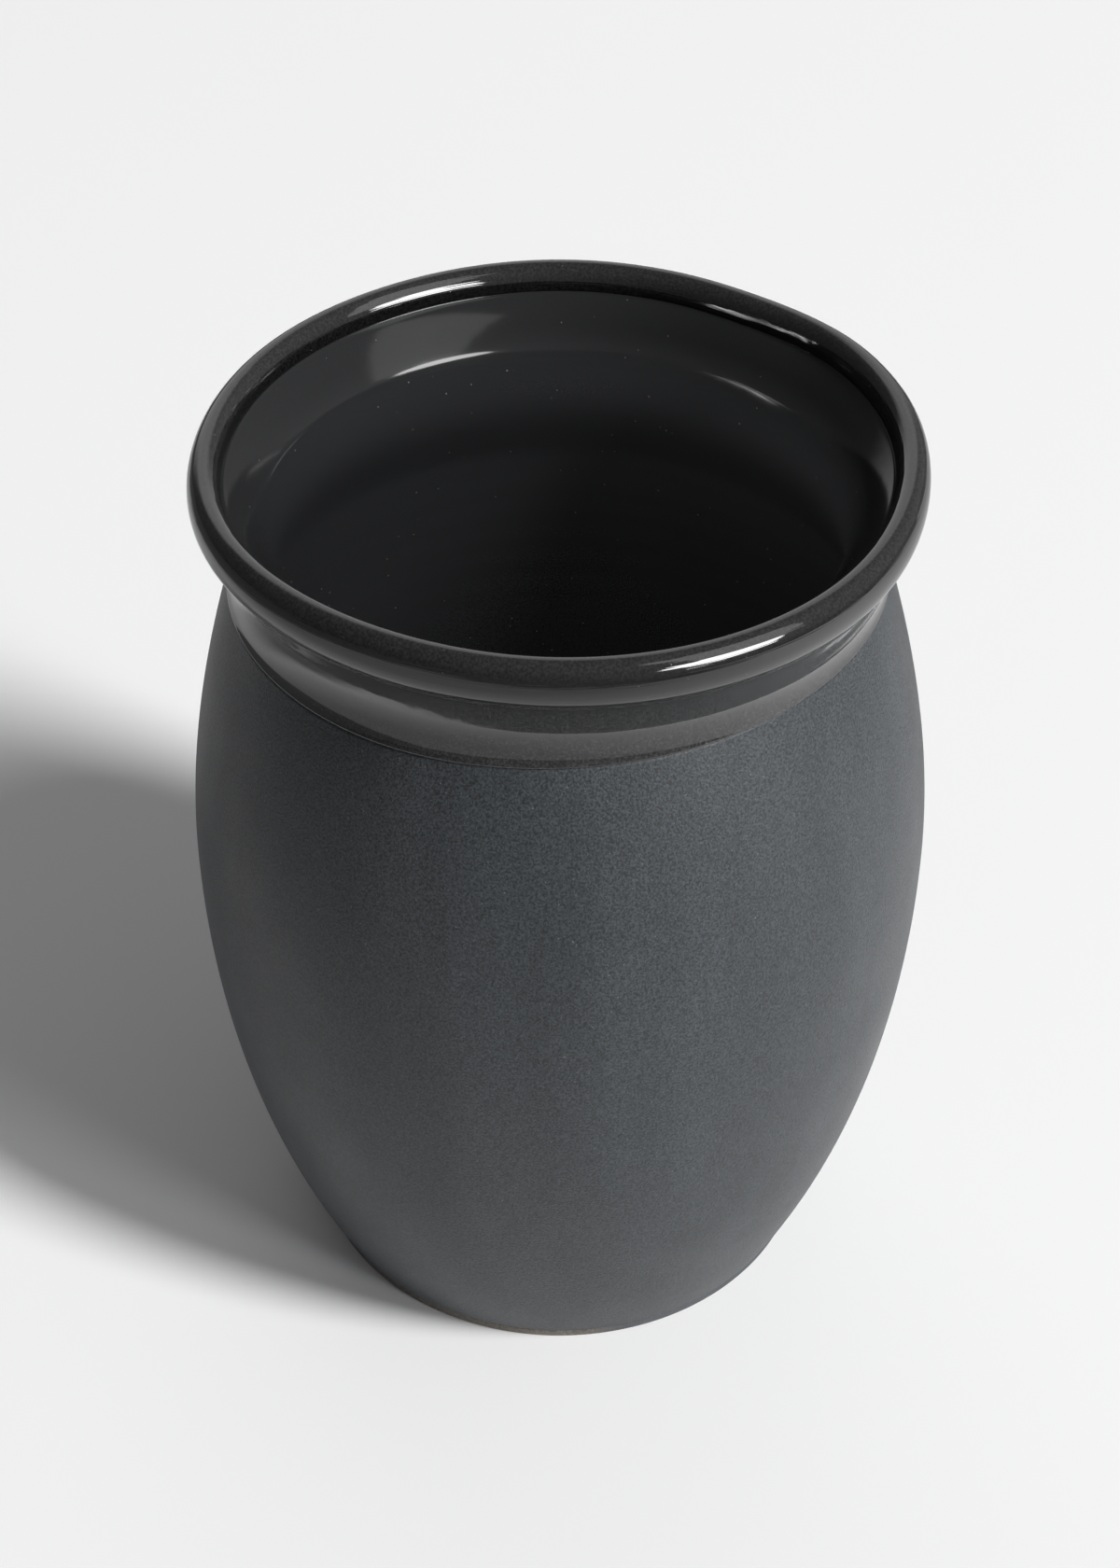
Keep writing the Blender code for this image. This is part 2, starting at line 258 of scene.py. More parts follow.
def make_twice_mirrored_core():
    """The hot core of the softbox, as an oval card in the same place. It shows only where the glaze
    mirrors it twice: strongly where the last mirror is the left wall, as in the photo's streaks at
    the back right of the lip, and faintly elsewhere. The last mirror is found a ray's length back
    along the ray."""
    distance = SOFTBOX_FACE["distance"]
    half_width = half_span(distance, SOFTBOX_FACE["width"])
    half_height = half_span(distance, SOFTBOX_FACE["height"])
    turn = np.linspace(0.0, 4.0 * UP, CORE_CORNERS, endpoint=False)
    ring = np.stack([half_width * np.cos(turn), half_height * np.sin(turn), 0.0 * turn], axis=1)
    mesh = bpy.data.meshes.new("softbox_core")
    mesh.from_pydata(ring.tolist(), [], [list(range(CORE_CORNERS))])
    material = bpy.data.materials.new("softbox_core")
    tree = new_tree(material)
    path = node(tree, "ShaderNodeLightPath").outputs
    spot = node(tree, "ShaderNodeNewGeometry").outputs
    twice = math_node(tree, "GREATER_THAN", path["Glossy Depth"], 1.5)
    mirror = vector_node(tree, "MULTIPLY_ADD", spot["Incoming"], path["Ray Length"],
                         spot["Position"])
    radiance = remap(tree, split(tree, mirror)[0], *LEFT_WALL, CORE_BY_LEFT_WALL, CORE_ELSEWHERE)
    strength = math_node(tree, "MULTIPLY", twice, radiance)
    glow = node(tree, "ShaderNodeEmission", {"Strength": strength})
    clear = node(tree, "ShaderNodeBsdfTransparent")
    both = node(tree, "ShaderNodeMixShader", {0: twice, 1: clear.outputs[0], 2: glow.outputs[0]})
    node(tree, "ShaderNodeOutputMaterial", {"Surface": both.outputs[0]})
    material.cycles.emission_sampling = "NONE"
    mesh.materials.append(material)
    towards = direction(SOFTBOX_FACE["azimuth"], SOFTBOX_FACE["elevation"])
    card = hang("softbox_core", mesh, towards, distance - CORE_IN_FRONT)
    card.visible_camera = False
    card.visible_diffuse = False
    card.visible_shadow = False


make_camera()
make_floor()
make_room()
make_lamp("lamp_high", **LAMP_HIGH, radiance=LAMP_HIGH_RADIANCE, shines=False)
make_lamp("lamp_low", **LAMP_LOW, radiance=LAMP_LOW_RADIANCE, shines=False)
make_lamp("softbox_face", **SOFTBOX_FACE, radiance=FACE_RADIANCE, lights=False)
make_lamp("softbox_top", **SOFTBOX_TOP, radiance=TOP_RADIANCE, shape="RECTANGLE", lights=False)
make_mouth_fill()
make_twice_mirrored_core()
bpy.context.scene.view_settings.view_transform = "Standard"


# The clay body. One lump of dark stoneware thrown on the wheel: a flat floor with a turned foot, an
# egg-shaped wall that closes to a hollow neck, and a lip rolled over to an oval bead. Only the foot
# shows below the slip, as a thin warm grey-brown strip.
OVERALL_HEIGHT = 0.1928
LIP_OUTER_RADIUS = 0.0700
LIP_THICKNESS = 0.0066
LIP_DEPTH = 0.0102
LIP_ROOT_ANGLE = math.radians(-62.0)
COVE_END = (0.06330, 0.1745)
COVE_END_LEAN = math.radians(20.8)
NECK_TOP = (0.0664, 0.1820)
NECK_TOP_LEAN = math.radians(24.0)
BELLY_RADIUS = 0.0746
BELLY_HEIGHT = 0.1005
SHOULDER_RADIUS = 0.0636
SHOULDER_LEAN = math.radians(17.0)
GLAZE_LINE_HEIGHT = 0.1654
FOOT_RADIUS = 0.0530
FOOT_LEAN = math.radians(25.0)
FOOT_CHAMFER = 0.0008
LEDGE_DROP = 0.0019
LEDGE_STEP = 0.0015
LEDGE_SLOPE = math.radians(50.0)
FLARE_END = (0.05705, 0.1790)
FLARE_END_LEAN = math.radians(30.0)
TURN_END = (0.05669, 0.1782)
TURN_END_LEAN = math.radians(18.0)
THROAT_RADIUS = 0.0545
THROAT_HEIGHT = 0.1700
INNER_SHOULDER_HEIGHT = 0.1480
WALL_THICKNESS = 0.0055
FLOOR_THICKNESS = 0.0070
FLOOR_CORNER_RADIUS = 0.0240
FLOOR_ROWS = (0.7, 0.4)
SLIP_COVER = 0.0006
GLAZE_COVER = 0.0009
SKIN_GAP = 0.00005
COAT_START_HEIGHT = 0.0027
STRETCH_SAMPLES = 400
LIP_WAVES = (
    (2, -0.07, 0.12), (3, -0.09, -0.08), (4, -0.04, 0.29), (5, 0.01, 0.14), (6, -0.15, 0.09))
RIM_WAVES = ((1, -0.06, 0.0), (2, -0.01, 0.12), (3, 0.09, -0.13))
RIM_LOWERED = 0.00036
WAVES_REACH = 0.0260
DENTS = (
    (34.0, 9.0, 0.1885, 0.009, 0.35, 0),
    (55.0, 9.0, 0.1885, 0.009, -0.35, 0),
    (-150.0, 24.0, 0.1775, 0.0045, -0.85, 1),
    (-40.0, 12.0, 0.1770, 0.0040, 0.22, 1),
    (180.0, 50.0, 0.1830, 0.0050, 0.40, -1),
)
CLAY_COLUMNS = 256
UNDER_COAT_END = 0.002
FOOT_EDGE_RADIUS = 0.0540
FOOT_EDGE_HEIGHT = 0.0007
FOOT_RING_INNER = 0.0445
FOOT_RING_INSETS = (0.0004, 0.001)
FOOT_RING_ROWS = 6
FOOT_CURVE_ROWS = 9
BARE_BAND_TAPER = 0.0004
BARE_BAND_GAP = 0.0002
BARE_BAND_ROWS = (0.4, 0.7, 0.9, 1.0)
RECESS_DEPTH = 0.0025
RECESS_CORNER = 0.0020
RECESS_ROWS = (0.3, 0.7)
FLECK_SCALE = 1900.0
FLECK_RANGE = (0.74, 0.80)
CLAY_GRAIN = (0.35, 0.65)
CLAY_DARK = (0.095, 0.085, 0.074, 1.0)
CLAY_PALE = (0.165, 0.148, 0.129, 1.0)
CLAY_SAND = (0.30, 0.26, 0.22, 1.0)
CLAY_ROUGHNESS = 0.85
SLIP_WASH = (0.070, 0.074, 0.079, 1.0)
WASH_START = (0.004, 0.014)


def bend(start, start_angle, end, end_angle):
    """A cubic curve between two points with given headings, near a round arc: each handle is a
    third of the chord divided by the squared cosine of a quarter of the turn."""
    start, end = np.array(start), np.array(end)
    turn = abs(math.remainder(end_angle - start_angle, 4.0 * UP))
    handle = np.linalg.norm(end - start) / (3.0 * math.cos(turn / 4.0) ** 2)
    first = start + handle * np.array([math.cos(start_angle), math.sin(start_angle)])
    second = end - handle * np.array([math.cos(end_angle), math.sin(end_angle)])
    t = np.linspace(0.0, 1.0, STRETCH_SAMPLES)[:, None]
    s = 1.0 - t
    return s ** 3 * start + 3.0 * s * s * t * first + 3.0 * s * t * t * second + t ** 3 * end


def oval(centre, half_width, half_height, start_angle, end_angle):
    """Points round an oval: the centre plus half sizes times the cosine and sine of the angle."""
    angle = np.linspace(start_angle, end_angle, STRETCH_SAMPLES)
    return np.stack([centre[0] + half_width * np.cos(angle),
                     centre[1] + half_height * np.sin(angle)], axis=1)


def wall_section():
    """The clay's section as stretches of (radius, height), from the foot over the lip to the floor.
    A heading of UP is straight up, and a lean turns it from there."""
    middle = (LIP_OUTER_RADIUS - LIP_THICKNESS / 2.0, OVERALL_HEIGHT - LIP_DEPTH / 2.0)
    half_width, half_height = LIP_THICKNESS / 2.0 - GLAZE_COVER, LIP_DEPTH / 2.0 - GLAZE_COVER
    lip = [oval(middle, half_width, half_height, LIP_ROOT_ANGLE, 0.0),
           oval(middle, half_width, half_height, 0.0, UP),
           oval(middle, half_width, half_height, UP, 2.0 * UP)]
    foot_edge = (FOOT_RADIUS, FOOT_CHAMFER)
    belly = (BELLY_RADIUS - SLIP_COVER, BELLY_HEIGHT)
    shoulder = (SHOULDER_RADIUS - SLIP_COVER, GLAZE_LINE_HEIGHT)
    lower = bend(foot_edge, UP - FOOT_LEAN, belly, UP)
    upper = bend(belly, UP, shoulder, UP + SHOULDER_LEAN)
    cove = bend(shoulder, UP + SHOULDER_LEAN, COVE_END, UP - COVE_END_LEAN)
    neck = bend(COVE_END, UP - COVE_END_LEAN, NECK_TOP, UP - NECK_TOP_LEAN)
    root_heading = math.atan2(half_height * math.cos(LIP_ROOT_ANGLE),
                              -half_width * math.sin(LIP_ROOT_ANGLE))
    root = bend(NECK_TOP, UP - NECK_TOP_LEAN, lip[0][0], root_heading)
    crease = lip[-1][-1]
    ledge = (crease[0] - LEDGE_STEP, crease[1] - LEDGE_DROP)
    throat = (THROAT_RADIUS + GLAZE_COVER, THROAT_HEIGHT)
    high_lean = (SHOULDER_LEAN * (INNER_SHOULDER_HEIGHT - BELLY_HEIGHT)
                 / (GLAZE_LINE_HEIGHT - BELLY_HEIGHT))
    inner_shoulder = (np.interp(INNER_SHOULDER_HEIGHT, upper[:, 1], upper[:, 0]) - WALL_THICKNESS,
                      INNER_SHOULDER_HEIGHT)
    inner_belly = (belly[0] - WALL_THICKNESS, BELLY_HEIGHT)
    low = FLOOR_THICKNESS + FLOOR_CORNER_RADIUS
    low_lean = FOOT_LEAN * (BELLY_HEIGHT - low) / BELLY_HEIGHT
    corner_top = (np.interp(low, lower[:, 1], lower[:, 0]) - WALL_THICKNESS, low)
    corner_end = (corner_top[0] - FLOOR_CORNER_RADIUS, FLOOR_THICKNESS)
    return [lower, upper, cove, neck, root] + lip + [
        bend(crease, -UP, ledge, -UP - LEDGE_SLOPE),
        bend(ledge, -UP - LEDGE_SLOPE, FLARE_END, -UP - FLARE_END_LEAN),
        bend(FLARE_END, -UP - FLARE_END_LEAN, TURN_END, -UP - TURN_END_LEAN),
        bend(TURN_END, -UP - TURN_END_LEAN, throat, -UP),
        bend(throat, -UP, inner_shoulder, -UP + high_lean),
        bend(inner_shoulder, -UP + high_lean, inner_belly, -UP),
        bend(inner_belly, -UP, corner_top, -UP - low_lean),
        bend(corner_top, -UP - low_lean, corner_end, -2.0 * UP),
        np.array([corner_end, (0.0, FLOOR_THICKNESS)])]


stretches = wall_section()
section = np.concatenate([stretches[0]] + [part[1:] for part in stretches[1:]])
along = np.concatenate([[0.0], np.cumsum(np.linalg.norm(np.diff(section, axis=0), axis=1))])
slope = np.gradient(section, along, axis=0)
slope /= np.linalg.norm(slope, axis=1)[:, None]
stops = along[np.cumsum([len(part) - 1 for part in stretches])]
(_, GLAZE_LINE, _, _, LIP_ROOT, LIP_SIDE, LIP_TOP, CREASE, LEDGE, FLARE, TURN, THROAT,
 INNER_SHOULDER, INNER_BELLY, CORNER, FLOOR_EDGE, _) = stops
COAT_START = float(np.interp(COAT_START_HEIGHT, section[:STRETCH_SAMPLES, 1],
                             along[:STRETCH_SAMPLES]))


def waves(azimuth, terms):
    """A sum of waves round the rim, in millimetres: for each (count, a, b), a cos and b sin of the
    count times the azimuth."""
    total = sum(a * np.cos(count * azimuth) + b * np.sin(count * azimuth) for count, a, b in terms)
    return total / 1000.0


def ease(x):
    """0 below 0, 1 above 1, and a smooth cubic step between."""
    x = np.clip(x, 0.0, 1.0)
    return x * x * (3.0 - 2.0 * x)


def degrees_from(azimuth, centre):
    """How far each azimuth lies from a centre, from -180 to 180 degrees."""
    return np.remainder(np.degrees(azimuth) - centre + 180.0, 360.0) - 180.0


def turned(lengths, depth, azimuth):
    """Points of the wall: the section read at these lengths, moved out of the clay by the depth,
    turned to each azimuth. The potter's hand is added: waves round the lip, and soft dents. A dent
    has a centre and half width in degrees, a height and reach, an amount in millimetres, and a
    side: 1 for the outside alone, -1 for the inside and 0 for both."""
    lengths, depth, azimuth = np.broadcast_arrays(lengths, depth, azimuth)
    radius = np.interp(lengths, along, section[:, 0])
    height = np.interp(lengths, along, section[:, 1])
    radius = radius + depth * np.interp(lengths, along, slope[:, 1])
    height = height - depth * np.interp(lengths, along, slope[:, 0])
    nearness = ease(1.0 - (OVERALL_HEIGHT - height) / WAVES_REACH)
    shift = nearness * waves(azimuth, LIP_WAVES)
    for centre, half, level, reach, amount, side in DENTS:
        apart = degrees_from(azimuth, centre)
        share = amount / 1000.0 * ((LIP_TOP - lengths) * side >= 0.0)
        shift = shift + share * np.exp(-(apart / half) ** 2 - ((height - level) / reach) ** 2)
    radius = radius + shift
    height = height + nearness * (waves(azimuth, RIM_WAVES) - RIM_LOWERED)
    return np.stack([radius * np.cos(azimuth), radius * np.sin(azimuth), height], axis=-1)


def columns(count):
    """Evenly spaced azimuths once round, as one row."""
    return np.linspace(0.0, 4.0 * UP, count, endpoint=False)[None, :]


def steps(*marks):
    """Lengths from mark to mark: marks alternate a length and the number of rows to the next."""
    parts = [np.linspace(marks[i], marks[i + 2], marks[i + 1], endpoint=False)
             for i in range(0, len(marks) - 2, 2)]
    return np.concatenate(parts + [[marks[-1]]])[:, None]


def close_surface(name, grid, poles=None):
    """A closed smooth mesh from a grid of points, rows by columns. The last column joins the first.
    The last row joins the first too, unless poles gives two heights on the axis, where the ends
    close."""
    count, across = grid.shape[:2]
    points = grid.reshape(-1, 3)
    here = np.arange(count * across).reshape(count, across)
    beside = np.roll(here, -1, axis=1)
    if poles is None:
        above, above_beside = np.roll(here, -1, axis=0), np.roll(beside, -1, axis=0)
        faces = np.stack([here, beside, above_beside, above], axis=-1).reshape(-1, 4).tolist()
    else:
        faces = np.stack([here[:-1], beside[:-1], beside[1:], here[1:]], axis=-1)
        faces = faces.reshape(-1, 4).tolist()
        first, last = len(points), len(points) + 1
        points = np.concatenate([points, [(0.0, 0.0, poles[0]), (0.0, 0.0, poles[1])]])
        faces += np.stack([np.full(across, first), beside[0], here[0]], axis=-1).tolist()
        faces += np.stack([here[-1], beside[-1], np.full(across, last)], axis=-1).tolist()
    mesh = bpy.data.meshes.new(name)
    mesh.from_pydata(points.tolist(), [], faces)
    mesh.shade_smooth()
    made = bpy.data.objects.new(name, mesh)
    bpy.context.scene.collection.objects.link(made)
    return made


def plain_ring(radius, height):
    """One ring of points as a row of the grid."""
    azimuth = columns(CLAY_COLUMNS)
    return np.stack([radius * np.cos(azimuth), radius * np.sin(azimuth), height + 0.0 * azimuth],
                    axis=-1)


def foot_rings():
    """The underside: a shallow recess, its corner as two quarter rounds, the flat ring the jug
    stands on, the rounded outer edge of the foot as a quarter circle, and the bare band up to the
    coat."""
    turn = np.linspace(0.0, UP, FOOT_CURVE_ROWS)
    rings = [plain_ring(r * FOOT_RING_INNER, RECESS_DEPTH) for r in RECESS_ROWS]
    rings += [plain_ring(FOOT_RING_INNER - RECESS_CORNER + RECESS_CORNER * math.sin(a) * 0.5,
                         RECESS_DEPTH - RECESS_DEPTH * 0.5 * (1.0 - math.cos(a))) for a in turn]
    rings += [plain_ring(FOOT_RING_INNER - RECESS_CORNER * 0.5 * math.cos(a),
                         RECESS_DEPTH * 0.5 * (1.0 - math.sin(a))) for a in turn[1:]]
    flat = np.linspace(FOOT_RING_INNER + FOOT_RING_INSETS[0],
                       FOOT_EDGE_RADIUS - FOOT_RING_INSETS[1], FOOT_RING_ROWS)
    rings += [plain_ring(r, 0.0) for r in flat]
    rings += [plain_ring(FOOT_EDGE_RADIUS - FOOT_EDGE_HEIGHT * (1.0 - math.sin(a)),
                         FOOT_EDGE_HEIGHT * (1.0 - math.cos(a))) for a in turn]
    band = COAT_START_HEIGHT - BARE_BAND_GAP - FOOT_EDGE_HEIGHT
    rings += [plain_ring(FOOT_EDGE_RADIUS - BARE_BAND_TAPER * share ** 3,
                         FOOT_EDGE_HEIGHT + share * band) for share in BARE_BAND_ROWS]
    return np.concatenate(rings)


def fired_grain():
    """A node group: the grain of fired clay and slip, as fine sand, slow clouds and flecks."""
    group = bpy.data.node_groups.new("fired_grain", "ShaderNodeTree")
    face = group.interface
    for title, value in (("Grain Size", 0.00045), ("Cloud Size", 0.02)):
        face.new_socket(title, in_out="INPUT", socket_type="NodeSocketFloat").default_value = value
    for title in ("Grain", "Clouds", "Flecks"):
        face.new_socket(title, in_out="OUTPUT", socket_type="NodeSocketFloat")
    given = group.nodes.new("NodeGroupInput").outputs
    place = node(group, "ShaderNodeTexCoord").outputs["Object"]
    fine = math_node(group, "DIVIDE", 1.0, given["Grain Size"])
    slow = math_node(group, "DIVIDE", 1.0, given["Cloud Size"])
    grain = node(group, "ShaderNodeTexNoise", {"Vector": place, "Scale": fine, "Detail": 2.0,
                 "Roughness": 0.6})
    clouds = node(group, "ShaderNodeTexNoise", {"Vector": place, "Scale": slow, "Detail": 3.0,
                  "Roughness": 0.5})
    sparks = node(group, "ShaderNodeTexNoise", {"Vector": place, "Scale": FLECK_SCALE,
                  "Detail": 1.0})
    node(group, "NodeGroupOutput", {"Grain": grain.outputs["Fac"], "Clouds": clouds.outputs["Fac"],
         "Flecks": remap(group, sparks.outputs["Fac"], *FLECK_RANGE)})
    return group


FIRED_GRAIN = fired_grain()


def place_group(tree, group, **values):
    """The outputs of a node group, with its inputs set."""
    made = tree.nodes.new("ShaderNodeGroup")
    made.node_tree = group
    for title, value in values.items():
        made.inputs[title.replace("_", " ")].default_value = value
    return made.outputs


def finish_material(tree, shader_inputs, height, bump_distance, bump_strength):
    """The Principled shader with a bump from the height."""
    bump = node(tree, "ShaderNodeBump", {"Height": height, "Distance": bump_distance,
                "Strength": bump_strength})
    shader = node(tree, "ShaderNodeBsdfPrincipled", dict(shader_inputs, Normal=bump.outputs[0]))
    node(tree, "ShaderNodeOutputMaterial", {"Surface": shader.outputs[0]})


def bare_clay_material():
    """Fired stoneware: warm grey-brown, rough, with dark and pale grains of sand. A thin wash of
    slip greys it towards the right."""
    material = bpy.data.materials.new("bare_stoneware_fired")
    tree = new_tree(material)
    grain = place_group(tree, FIRED_GRAIN, Grain_Size=0.0006, Cloud_Size=0.008)
    x = split(tree, node(tree, "ShaderNodeTexCoord").outputs["Object"])[0]
    colour = blend(tree, remap(tree, grain["Grain"], *CLAY_GRAIN), CLAY_DARK, CLAY_PALE)
    colour = blend(tree, remap(tree, x, *WASH_START), colour, SLIP_WASH)
    colour = blend(tree, grain["Flecks"], colour, CLAY_SAND)
    finish_material(tree, {"Base Color": colour, "Roughness": CLAY_ROUGHNESS}, grain["Grain"],
                    bump_distance=0.0003, bump_strength=0.5)
    return material


def make_clay():
    """The clay from the recess under the foot, up under the coats, over the lip and down."""
    azimuth = columns(CLAY_COLUMNS)
    lengths = steps(COAT_START, 3, COAT_START + UNDER_COAT_END, 40, GLAZE_LINE, 18, LIP_ROOT, 30,
                    CREASE, 4, LEDGE, 20, INNER_SHOULDER, 16, INNER_BELLY, 12, CORNER, 10,
                    FLOOR_EDGE)
    wall = turned(lengths, 0.0, azimuth)
    floor_edge_radius = section[-2, 0]
    inner_floor = np.concatenate([plain_ring(r * floor_edge_radius, FLOOR_THICKNESS)
                                  for r in FLOOR_ROWS])
    grid = np.concatenate([foot_rings(), wall[1:], inner_floor])
    clay = close_surface("clay_body_fired", grid, (RECESS_DEPTH, FLOOR_THICKNESS))
    clay.data.materials.append(bare_clay_material())
    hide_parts("clay_body")
    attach(clay, "root")


make_clay()


# The slip coat. The potter dipped the jug in a graphite-grey slip up to the neck and wiped the
# foot, so a thin matte skin covers the wall from just above the foot. Fired, it has a fine
# metallic speckle.
SLIP_COLUMNS = 448
SLIP_EDGE_WAVES = ((1, 0.10, -0.05), (3, 0.08, 0.06), (7, 0.05, -0.07))
SLIP_EDGE_ROUND = 0.0005
SLIP_LAP = 0.00035
GLAZE_LINE_WAVES = ((1, 1.60, 0.0), (3, 0.10, 0.08), (5, -0.08, 0.10))
GLAZE_LINE_RAISED = 0.0004
GLAZE_LINE_DIP = (-118.0, 26.0, -0.00085)
SLIP_GRAIN = (0.36, 0.64)
SLIP_DARK = (0.0174, 0.0198, 0.0218, 1.0)
SLIP_PALE = (0.0604, 0.0684, 0.0756, 1.0)
SLIP_FLECK = (0.16, 0.17, 0.18, 1.0)
SLIP_RUNS = (75.0, 75.0, 7.0)
SLIP_RUN_SHADE = 0.23
CLOUD_RANGE = (0.3, 0.7)
SLIP_ROUGHNESS = (0.42, 0.50)
SLIP_IOR = 1.5


def glaze_line(azimuth):
    """The length along the wall where the glaze ends: the dipped line as waves and one soft dip."""
    centre, half, amount = GLAZE_LINE_DIP
    dip = amount * np.exp(-(degrees_from(azimuth, centre) / half) ** 2)
    rise = waves(azimuth, GLAZE_LINE_WAVES) + GLAZE_LINE_RAISED + dip
    return GLAZE_LINE + rise / math.cos(SHOULDER_LEAN)


def quarter_round(share):
    """0 at 0 and 1 from 1 on, along a quarter circle."""
    return np.sqrt(1.0 - (1.0 - np.clip(share, 0.0, 1.0)) ** 2)


def drawn_noise(tree, place, stretch, detail):
    """Noise drawn out along the axes on which the stretch is small."""
    drawn = vector_node(tree, "MULTIPLY", place, stretch)
    noise = node(tree, "ShaderNodeTexNoise", {"Vector": drawn, "Scale": 1.0, "Detail": detail})
    return noise.outputs["Fac"]


def slip_material():
    """Matte graphite slip: dark cool grey, a fine grain, faint upright runs, a soft metallic sheen
    and a few bright flecks."""
    material = bpy.data.materials.new("graphite_slip_fired")
    tree = new_tree(material)
    grain = place_group(tree, FIRED_GRAIN, Grain_Size=0.00045, Cloud_Size=0.025)
    place = node(tree, "ShaderNodeTexCoord").outputs["Object"]
    runs = drawn_noise(tree, place, SLIP_RUNS, 2.0)
    colour = blend(tree, remap(tree, grain["Grain"], *SLIP_GRAIN), SLIP_DARK, SLIP_PALE)
    colour = blend(tree, grain["Flecks"], colour, SLIP_FLECK)
    shade = remap(tree, runs, *CLOUD_RANGE, SLIP_RUN_SHADE, 0.0)
    colour = blend(tree, shade, colour, (0.0, 0.0, 0.0, 1.0))
    rough = remap(tree, grain["Clouds"], *CLOUD_RANGE, *SLIP_ROUGHNESS)
    finish_material(tree, {"Base Color": colour, "Roughness": rough, "IOR": SLIP_IOR},
                    grain["Grain"], bump_distance=0.0002, bump_strength=0.55)
    return material


def make_slip():
    """The slip as a closed skin: its outer face, rounded at the lower edge, and its inner face on
    the clay."""
    azimuth = columns(SLIP_COLUMNS)
    low = COAT_START + waves(azimuth, SLIP_EDGE_WAVES)
    high = glaze_line(azimuth) + SLIP_LAP
    lengths = low + steps(0.0, 8, 0.004, 150, 1.0) * (high - low)
    depth = SKIN_GAP + (SLIP_COVER - SKIN_GAP) * quarter_round((lengths - low) / SLIP_EDGE_ROUND)
    outer = turned(lengths, depth, azimuth)
    inner = turned(low + steps(1.0, 16, 0.0) * (high - low), SKIN_GAP, azimuth)
    slip = close_surface("slip_coat_fired", np.concatenate([outer, inner[:-1]]))
    slip.data.materials.append(slip_material())
    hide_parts("slip_coat")
    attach(slip, "root")


make_slip()


# The lip's glaze. The neck and lip were dipped upside down in a glossy black glaze, which pooled
# to a raised, rounded edge where it stopped and ran thin over the roll of the lip.
LIP_COLUMNS = 512
EDGE_LENGTH = 0.00045
EDGE_ROWS_END = 0.0030
EDGE_POOL = 0.00017
EDGE_POOL_LENGTH = 0.0023
UNDER_LAP = 0.0005
CREASE_ROUND = 0.00025
CREASE_SHARE = 0.6
PIT_EDGE = (0.03, 0.08)
PITS_LEFT_OUT = 0.60
PIT_HEIGHT = -0.6
PIT_ROUGHNESS = 0.35
RIPPLE_SCALE = 260.0
DUST_SCALE = 2100.0
DUST_RANGE = (0.35, 0.70)
DUST_HEIGHT = 0.05
WHEEL_LINES = (40.0, 40.0, 4200.0)
LINES_FROM = (0.1830, 0.1860)
ROLL_HEIGHTS = (0.1892, 0.1918)
LIP_LOOK = {
    "deep": (0.005, 0.005, 0.005, 1.0), "thin": (0.023, 0.023, 0.0226, 1.0),
    "heights": (0.187, 0.178), "rolled": (0.013, 0.013, 0.0127, 1.0),
    "speck": (0.08, 0.08, 0.08, 1.0), "dust": (0.5, 1.7), "roughness": 0.05, "ior": 1.8,
    "pit_spacing": 0.0020, "lines": 1.6}


def glaze_pits():
    """A node group: tiny pinholes in a glaze, a faint orange-peel ripple and a fine dusty grain. A
    pinhole is the middle of a cell, in the cells whose random colour lets it through."""
    group = bpy.data.node_groups.new("glaze_pits", "ShaderNodeTree")
    face = group.interface
    spacing = face.new_socket("Pit Spacing", in_out="INPUT", socket_type="NodeSocketFloat")
    spacing.default_value = 0.002
    for title in ("Pits", "Ripple", "Dust"):
        face.new_socket(title, in_out="OUTPUT", socket_type="NodeSocketFloat")
    given = group.nodes.new("NodeGroupInput").outputs
    place = node(group, "ShaderNodeTexCoord").outputs["Object"]
    scale = math_node(group, "DIVIDE", 1.0, given["Pit Spacing"])
    cells = node(group, "ShaderNodeTexVoronoi", {"Vector": place, "Scale": scale}).outputs
    close = remap(group, cells["Distance"], *PIT_EDGE, 1.0, 0.0)
    pick = node(group, "ShaderNodeSeparateColor", {0: cells["Color"]}).outputs[1]
    chosen = math_node(group, "GREATER_THAN", pick, PITS_LEFT_OUT)
    ripple = node(group, "ShaderNodeTexNoise", {"Vector": place, "Scale": RIPPLE_SCALE,
                  "Detail": 1.0})
    dust = node(group, "ShaderNodeTexNoise", {"Vector": place, "Scale": DUST_SCALE, "Detail": 1.0})
    node(group, "NodeGroupOutput", {"Pits": math_node(group, "MULTIPLY", close, chosen),
         "Ripple": ripple.outputs["Fac"], "Dust": dust.outputs["Fac"]})
    return group


GLAZE_PITS = glaze_pits()


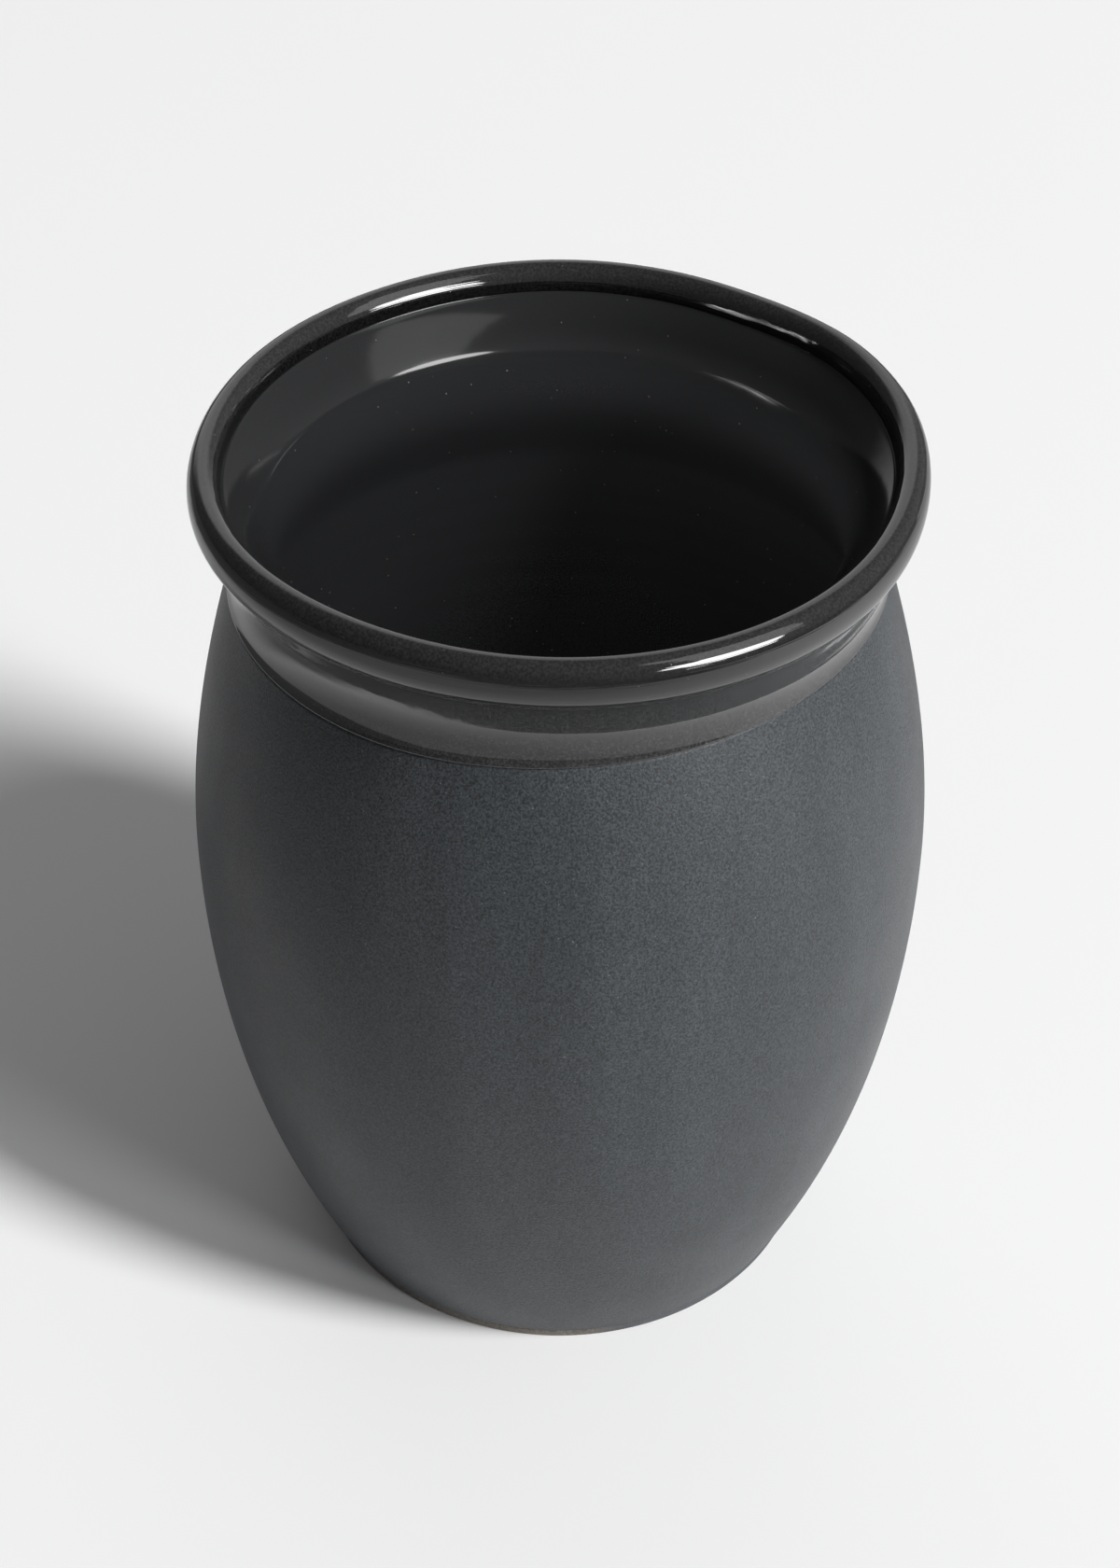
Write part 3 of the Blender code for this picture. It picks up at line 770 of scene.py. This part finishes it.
def black_glaze(name, deep, thin, heights, speck, dust, roughness, ior, pit_spacing,
                lines=0.0, rolled=None):
    """Glossy black glaze: a deep colour that turns to the thin colour from the first height to the
    second and to the rolled colour over the lip, a dusty grain, paler specks at the pinholes, a
    faint ripple and the fine lines that the wheel left."""
    material = bpy.data.materials.new(name)
    tree = new_tree(material)
    pits = place_group(tree, GLAZE_PITS, Pit_Spacing=pit_spacing)
    place = node(tree, "ShaderNodeTexCoord").outputs["Object"]
    level = split(tree, place)[2]
    colour = blend(tree, remap(tree, level, *heights, shape="SMOOTHSTEP"), deep, thin)
    if rolled:
        colour = blend(tree, remap(tree, level, *ROLL_HEIGHTS, shape="SMOOTHSTEP"), colour, rolled)
    dusty = remap(tree, pits["Dust"], *DUST_RANGE, *dust)
    toned = node(tree, "ShaderNodeVectorMath", {0: colour, "Scale": dusty}, operation="SCALE")
    colour = blend(tree, pits["Pits"], toned.outputs[0], speck)
    rough = remap(tree, pits["Pits"], 0.0, 1.0, roughness, PIT_ROUGHNESS)
    height = math_node(tree, "MULTIPLY_ADD", pits["Pits"], PIT_HEIGHT, pits["Ripple"])
    height = math_node(tree, "MULTIPLY_ADD", pits["Dust"], DUST_HEIGHT, height)
    if lines:
        where = remap(tree, level, *LINES_FROM, 0.0, lines)
        noise = drawn_noise(tree, place, WHEEL_LINES, 1.0)
        height = math_node(tree, "MULTIPLY_ADD", noise, where, height)
    finish_material(tree, {"Base Color": colour, "Roughness": rough, "IOR": ior}, height,
                    bump_distance=0.00003, bump_strength=0.5)
    return material


def make_lip_glaze():
    """The glaze as a closed skin from its beaded edge up the neck and round the lip to the crease,
    where it thins to a share of its cover. Its back starts on the slip and steps down on the clay
    past the slip's upper end."""
    azimuth = columns(LIP_COLUMNS)
    line = glaze_line(azimuth)
    near = line + steps(0.0, 10, EDGE_LENGTH, 12, EDGE_ROWS_END)
    neck = near[-1] + steps(0.0, 32, 1.0)[1:] * (LIP_ROOT - near[-1])
    lip = steps(LIP_ROOT, 24, LIP_SIDE, 18, LIP_TOP, 18, CREASE - CREASE_ROUND, 6, CREASE)[1:]
    lengths = np.concatenate([near, neck, lip + 0.0 * azimuth])
    apart = lengths - line
    rounded = quarter_round(apart / EDGE_LENGTH)
    depth = SLIP_COVER + (GLAZE_COVER - SLIP_COVER) * rounded
    depth = depth + EDGE_POOL * rounded * np.clip(1.0 - apart / EDGE_POOL_LENGTH, 0.0, 1.0) ** 2
    closing = quarter_round((CREASE - lengths) / CREASE_ROUND)
    outer = turned(lengths, depth * (CREASE_SHARE + (1.0 - CREASE_SHARE) * closing), azimuth)
    back = lengths[::-4]
    step_down = ease((back - line - UNDER_LAP) / UNDER_LAP)
    inner = turned(back, SLIP_COVER + SKIN_GAP / 2.0 + (SKIN_GAP - SLIP_COVER) * step_down, azimuth)
    glaze = close_surface("lip_glaze_fired", np.concatenate([outer, inner]))
    glaze.data.materials.append(black_glaze("lip_glaze_fired", **LIP_LOOK))
    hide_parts("lip_glaze")
    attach(glaze, "root")


make_lip_glaze()


# The lining. The same glossy black glaze was poured in and out again, so it covers the ledge under
# the lip, the throat, the wall with its faint throwing rings, and the floor.
LINING_COLUMNS = 448
RING_STEP = 0.0075
RING_DEPTH = 0.00003
RING_TILT = 0.8
RING_FADE = 0.03
LINING_LOOK = {
    "deep": (0.0122, 0.0126, 0.0131, 1.0), "thin": (0.0155, 0.0159, 0.0168, 1.0),
    "heights": (0.178, 0.160), "speck": (0.10, 0.10, 0.10, 1.0), "dust": (0.94, 1.07),
    "roughness": 0.12, "ior": 1.5, "pit_spacing": 0.0026}


def drawn_in(row, shares):
    """Copies of a row of points drawn in towards the axis, one for each share of its radius."""
    rows = [np.concatenate([row[..., :2] * share, row[..., 2:]], axis=-1) for share in shares]
    return np.concatenate(rows)


def make_lining():
    """The lining as a closed skin: its glossy face from the crease to the middle of the floor, and
    its back."""
    azimuth = columns(LINING_COLUMNS)
    lengths = steps(CREASE, 6, CREASE + CREASE_ROUND, 14, LEDGE, 20, FLARE, 10, TURN, 16, THROAT,
                    22, INNER_SHOULDER, 30, INNER_BELLY, 26, CORNER, 18, FLOOR_EDGE)
    closing = quarter_round((lengths - CREASE) / CREASE_ROUND)
    below = lengths - THROAT
    rings = (RING_DEPTH * np.sin(below / RING_STEP * 4.0 * UP + RING_TILT * np.sin(azimuth))
             * ease(below / RING_FADE))
    depth = GLAZE_COVER * (CREASE_SHARE + (1.0 - CREASE_SHARE) * closing) + rings
    outer = turned(lengths, depth, azimuth)
    inner = turned(lengths[::-4], SKIN_GAP, azimuth)
    grid = np.concatenate([drawn_in(inner[:1], FLOOR_ROWS[::-1]), inner, outer,
                           drawn_in(outer[-1:], FLOOR_ROWS)])
    poles = (FLOOR_THICKNESS + SKIN_GAP, FLOOR_THICKNESS + GLAZE_COVER)
    lining = close_surface("lining_glaze_fired", grid, poles)
    lining.data.materials.append(black_glaze("lining_glaze_fired", **LINING_LOOK))
    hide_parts("lining_glaze")
    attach(lining, "root")


make_lining()
